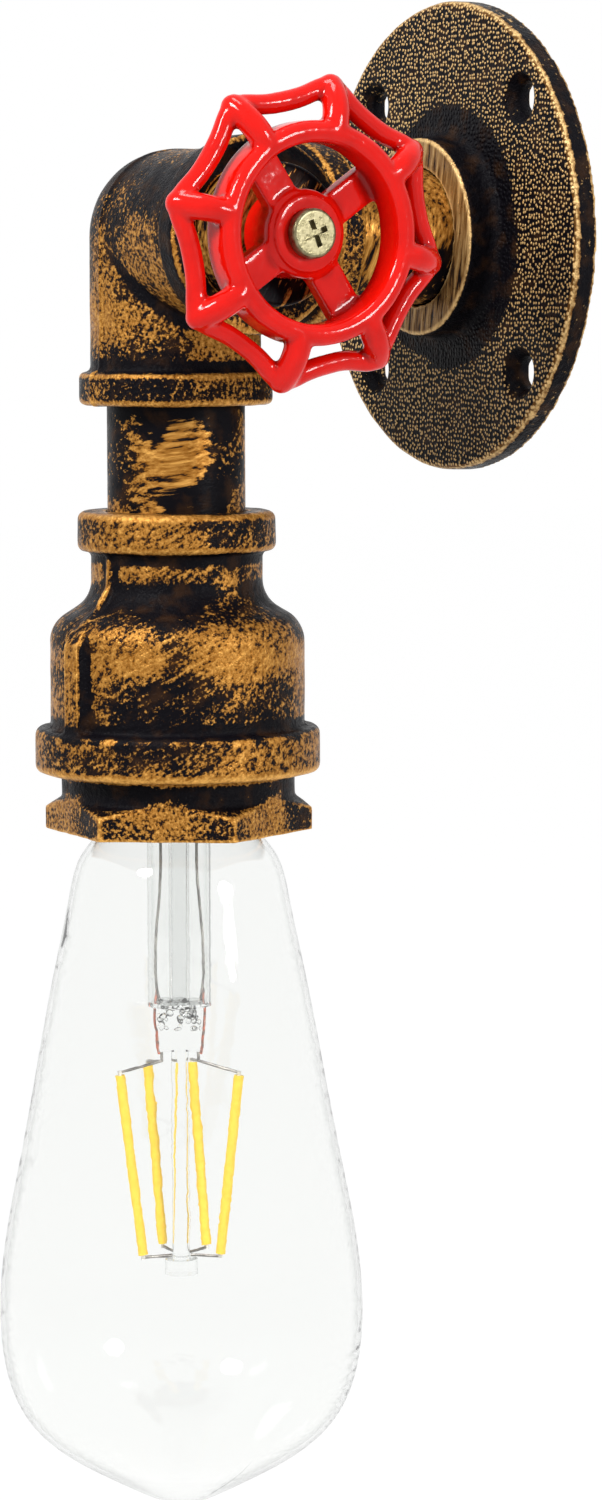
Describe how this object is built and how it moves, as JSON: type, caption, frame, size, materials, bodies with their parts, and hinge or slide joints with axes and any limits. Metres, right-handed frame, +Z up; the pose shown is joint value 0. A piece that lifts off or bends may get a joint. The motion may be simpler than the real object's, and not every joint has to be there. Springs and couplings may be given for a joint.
{
  "type": "wall light",
  "caption": "Pipe wall light: round floor flange, side outlet elbow with a red handwheel, reducing coupling and a clear filament lamp hanging down.",
  "frame": {"origin": "centre of the flange's back face, on the axis of the horizontal arm", "axes": "+Y into the wall, +Z up, +X towards the handwheel"},
  "size_m": [0.1018, 0.1022, 0.2957],
  "materials": {
    "cast_bronze_finish": "antique bronze paint on pebbled casting, gold dry-brushed on the high places",
    "pipe_bronze_finish": "black paint with streaky gold brushing",
    "yellow_zinc_screw": "yellow zinc plate",
    "red_enamel": "thick gloss red enamel",
    "holder_ceramic": "unglazed white ceramic",
    "fibre": "red fibre",
    "brass_parts": "pressed brass",
    "lead_brown": "silicone insulation",
    "lead_blue": "silicone insulation",
    "lead_green": "silicone insulation",
    "solder": "tinned",
    "cap_insulation": "dark glass insulation",
    "cap_nickel": "nickel plated",
    "clear_glass": "clear blown glass",
    "stem_glass": "clear drawn glass",
    "filament_amber": "amber phosphor coating, lamp off",
    "support_wire": "drawn nickel wire",
    "board_laminate": "circuit board laminate",
    "capacitor_case": "sleeved aluminium can"
  },
  "bodies": {
    "fitting": {"floor_flange": "cast_bronze_finish", "wall_nipple": "pipe_bronze_finish", "side_outlet_elbow": "cast_bronze_finish", "outlet_plug": "pipe_bronze_finish", "wheel_screw": "yellow_zinc_screw", "drop_nipple": "pipe_bronze_finish", "reducing_coupling": "cast_bronze_finish", "hex_bushing": "cast_bronze_finish", "lampholder_body": "holder_ceramic", "holder_washer": "fibre", "terminal_screws": "brass_parts", "screw_shell": "brass_parts", "centre_contact": "brass_parts", "live_lead": "lead_brown", "neutral_lead": "lead_blue", "earth_lead": "lead_green"},
    "wheel": {"handwheel": "red_enamel"},
    "lamp_contact": {"cap_contact": "solder"},
    "lamp": {"cap_insulator": "cap_insulation", "screw_cap": "cap_nickel", "bulb_glass": "clear_glass", "glass_stem": "stem_glass", "exhaust_tube": "stem_glass", "led_filaments": "filament_amber", "filament_wires_top": "support_wire", "filament_wires_bottom": "support_wire", "stem_leads": "support_wire", "driver_board": "board_laminate", "driver_capacitor": "capacitor_case"}
  },
  "joints": [
    {"name": "wheel_turn", "type": "hinge", "parent": "fitting", "child": "wheel", "pos_m": [0.0399, -0.0665, 0], "axis": [1, 0, 0], "continuous": true},
    {"name": "lamp_draw", "type": "slide", "parent": "fitting", "child": "lamp_contact", "axis": [0, 0, -1], "range_m": [0, 0.0182]},
    {"name": "lamp_unscrew", "type": "hinge", "parent": "lamp_contact", "child": "lamp", "pos_m": [0, -0.0665, -0.09], "axis": [0, 0, -1], "range_deg": [0, 1800]}
  ],
  "couplings": [
    {"joint": "lamp_draw", "follows": "lamp_unscrew", "m_per_rad": 0.00057751}
  ]
}
